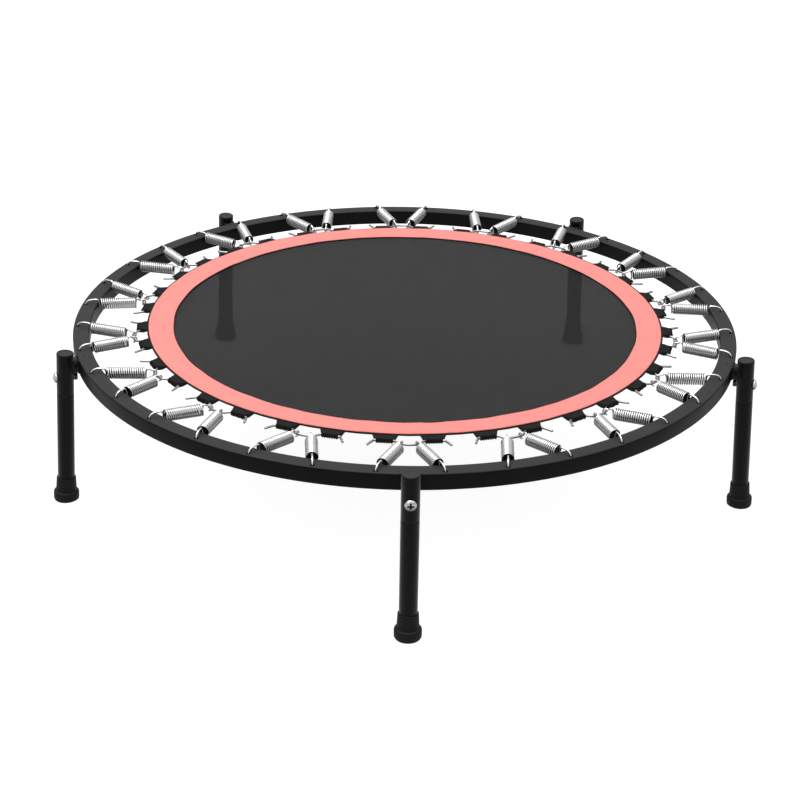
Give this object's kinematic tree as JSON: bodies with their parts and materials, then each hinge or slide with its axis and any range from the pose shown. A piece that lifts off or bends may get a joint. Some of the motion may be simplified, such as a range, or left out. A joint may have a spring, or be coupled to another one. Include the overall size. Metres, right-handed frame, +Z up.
{
  "type": "mini trampoline",
  "caption": "Round mini trampoline: square-tube ring on splayed bolted legs, with a woven mat and coral edge band hung on paired coil springs.",
  "frame": {"origin": "on the floor, at the middle of the object's outline in plan", "axes": "+Z up; -Y towards the leg that stands alone at the front; the ring's axis stands 24.7 mm behind the origin"},
  "size_m": [1.0614, 1.0654, 0.2406],
  "materials": {
    "ring_coat": "satin charcoal powder coat",
    "leg_coat": "satin black powder coat",
    "foot_rubber": "matte moulded rubber",
    "zinc": "bright zinc plate",
    "webbing": "black polypropylene webbing",
    "edge_band": "coral woven tape",
    "mat_weave": "black woven mesh, slightly see-through"
  },
  "bodies": {
    "frame": {"frame_ring": "ring_coat", "leg_sleeve_1": "leg_coat", "leg_tube_1": "leg_coat", "leg_bolt_1": "zinc", "leg_foot_1": "foot_rubber", "leg_sleeve_2": "leg_coat", "leg_tube_2": "leg_coat", "leg_bolt_2": "zinc", "leg_foot_2": "foot_rubber", "leg_sleeve_3": "leg_coat", "leg_tube_3": "leg_coat", "leg_bolt_3": "zinc", "leg_foot_3": "foot_rubber", "leg_sleeve_4": "leg_coat", "leg_tube_4": "leg_coat", "leg_bolt_4": "zinc", "leg_foot_4": "foot_rubber", "leg_sleeve_5": "leg_coat", "leg_tube_5": "leg_coat", "leg_bolt_5": "zinc", "leg_foot_5": "foot_rubber", "spring_01": "zinc", "spring_02": "zinc", "spring_03": "zinc", "spring_04": "zinc", "spring_05": "zinc", "spring_06": "zinc", "spring_07": "zinc", "spring_08": "zinc", "spring_09": "zinc", "spring_10": "zinc", "spring_11": "zinc", "spring_12": "zinc", "spring_13": "zinc", "spring_14": "zinc", "spring_15": "zinc", "spring_16": "zinc", "spring_17": "zinc", "spring_18": "zinc", "spring_19": "zinc", "spring_20": "zinc", "spring_21": "zinc", "spring_22": "zinc", "spring_23": "zinc", "spring_24": "zinc", "spring_25": "zinc", "spring_26": "zinc", "spring_27": "zinc", "spring_28": "zinc", "spring_29": "zinc", "spring_30": "zinc", "spring_31": "zinc", "spring_32": "zinc", "spring_33": "zinc", "spring_34": "zinc", "spring_35": "zinc", "spring_36": "zinc"},
    "bed_edge": {"webbing_hoop": "webbing", "edge_band": "edge_band"},
    "bed_centre": {"jump_mat": "mat_weave"}
  },
  "joints": [
    {"name": "bed_edge_drop", "type": "slide", "parent": "frame", "child": "bed_edge", "axis": [0, 0, -1], "range_m": [0, 0.03], "stiffness_N_per_m": 120000, "springref_m": -0.002, "deforming": ["spring_01", "spring_02", "spring_03", "spring_04", "spring_05", "spring_06", "spring_07", "spring_08", "spring_09", "spring_10", "spring_11", "spring_12", "spring_13", "spring_14", "spring_15", "spring_16", "spring_17", "spring_18", "spring_19", "spring_20", "spring_21", "spring_22", "spring_23", "spring_24", "spring_25", "spring_26", "spring_27", "spring_28", "spring_29", "spring_30", "spring_31", "spring_32", "spring_33", "spring_34", "spring_35", "spring_36"]},
    {"name": "bed_centre_dip", "type": "slide", "parent": "bed_edge", "child": "bed_centre", "axis": [0, 0, -1], "range_m": [0, 0.09]}
  ],
  "couplings": [
    {"joint": "bed_centre_dip", "follows": "bed_edge_drop", "ratio": 3}
  ]
}
